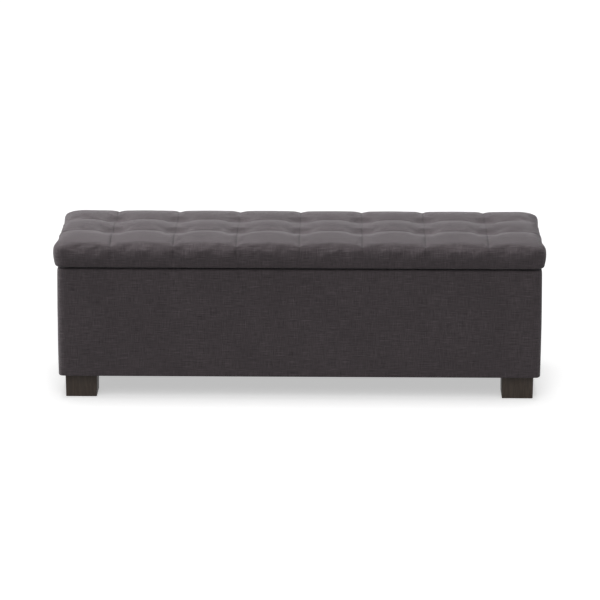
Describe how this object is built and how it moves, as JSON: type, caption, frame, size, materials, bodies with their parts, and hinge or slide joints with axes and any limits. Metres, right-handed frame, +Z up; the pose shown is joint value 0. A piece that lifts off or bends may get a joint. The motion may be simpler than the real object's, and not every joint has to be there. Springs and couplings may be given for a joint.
{
  "type": "storage bench",
  "caption": "Long upholstered storage bench with a grid-tufted padded lid on rear hinges and gas springs, a fabric box and square wooden block feet.",
  "frame": {"origin": "on the floor, under the middle of the bench", "axes": "+X along the bench to the right of someone facing its front, +Y from front to back, +Z up"},
  "size_m": [1.287, 0.415, 0.4365],
  "materials": {
    "box_fabric": "matte",
    "lid_fabric": "matte",
    "foam": "matte",
    "lining_cloth": "matte",
    "dust_cloth": "matte",
    "tie_cord": "matte",
    "board": "matte",
    "pine": "matte",
    "stained_wood": "satin",
    "zinc_steel": "satin",
    "black_steel": "satin",
    "polished_rod": "polished",
    "black_nylon": "satin",
    "black_rubber": "matte"
  },
  "bodies": {
    "box": {"front_panel": "board", "back_panel": "board", "left_end_panel": "board", "right_end_panel": "board", "corner_posts": "pine", "corner_blocks": "pine", "floor_cleats": "pine", "floor_bearer": "pine", "floor_panel": "board", "base_padding": "foam", "base_cover": "box_fabric", "storage_lining": "lining_cloth", "dust_cover": "dust_cloth", "foot_glides": "black_nylon", "foot_bolts": "zinc_steel", "foot_nuts": "zinc_steel", "lid_bumpers": "black_rubber", "hinge_screws_base": "zinc_steel", "bracket_screws_base": "zinc_steel", "foot_front_left": "stained_wood", "foot_front_right": "stained_wood", "foot_back_left": "stained_wood", "foot_back_right": "stained_wood", "hinge_leaf_base_left": "zinc_steel", "hinge_pin_left": "zinc_steel", "hinge_leaf_base_centre": "zinc_steel", "hinge_pin_centre": "zinc_steel", "hinge_leaf_base_right": "zinc_steel", "hinge_pin_right": "zinc_steel", "bracket_base_left": "black_steel", "bracket_base_right": "black_steel"},
    "lid": {"lid_board": "board", "lid_foam": "foam", "lid_cover": "lid_fabric", "lid_lining": "lining_cloth", "tuft_ties": "tie_cord", "hinge_leaf_lid_left": "zinc_steel", "hinge_leaf_lid_centre": "zinc_steel", "hinge_leaf_lid_right": "zinc_steel", "hinge_screws_lid": "zinc_steel", "bracket_lid_left": "black_steel", "bracket_lid_right": "black_steel", "bracket_screws_lid": "zinc_steel"},
    "spring_tube_left": {"spring_tube_left": "black_steel", "spring_tube_socket_left": "black_nylon", "spring_gland_left": "black_nylon"},
    "spring_rod_left": {"spring_rod_left": "polished_rod", "spring_piston_left": "black_nylon", "spring_rod_socket_left": "black_nylon"},
    "spring_tube_right": {"spring_tube_right": "black_steel", "spring_tube_socket_right": "black_nylon", "spring_gland_right": "black_nylon"},
    "spring_rod_right": {"spring_rod_right": "polished_rod", "spring_piston_right": "black_nylon", "spring_rod_socket_right": "black_nylon"}
  },
  "joints": [
    {"name": "lid_hinge", "type": "hinge", "parent": "box", "child": "lid", "pos_m": [0, 0.204, 0.35375], "axis": [-1, 0, 0], "range_deg": [0, 80]},
    {"name": "spring_base_left", "type": "hinge", "parent": "box", "child": "spring_tube_left", "pos_m": [-0.5955, 0.1395, 0.16438], "axis": [-1, 0, 0], "range_deg": [0, 40]},
    {"name": "spring_lid_left", "type": "hinge", "parent": "lid", "child": "spring_rod_left", "pos_m": [-0.5955, 0.00443, 0.33975], "axis": [-1, 0, 0], "range_deg": [-40, 0]},
    {"name": "spring_base_right", "type": "hinge", "parent": "box", "child": "spring_tube_right", "pos_m": [0.5955, 0.1395, 0.16438], "axis": [-1, 0, 0], "range_deg": [0, 40]},
    {"name": "spring_lid_right", "type": "hinge", "parent": "lid", "child": "spring_rod_right", "pos_m": [0.5955, 0.00443, 0.33975], "axis": [-1, 0, 0], "range_deg": [-40, 0]}
  ],
  "couplings": [
    {"joint": "spring_base_left", "follows": "lid_hinge", "ratio": 0.5},
    {"joint": "spring_lid_left", "follows": "lid_hinge", "ratio": -0.5},
    {"joint": "spring_base_right", "follows": "lid_hinge", "ratio": 0.5},
    {"joint": "spring_lid_right", "follows": "lid_hinge", "ratio": -0.5}
  ]
}
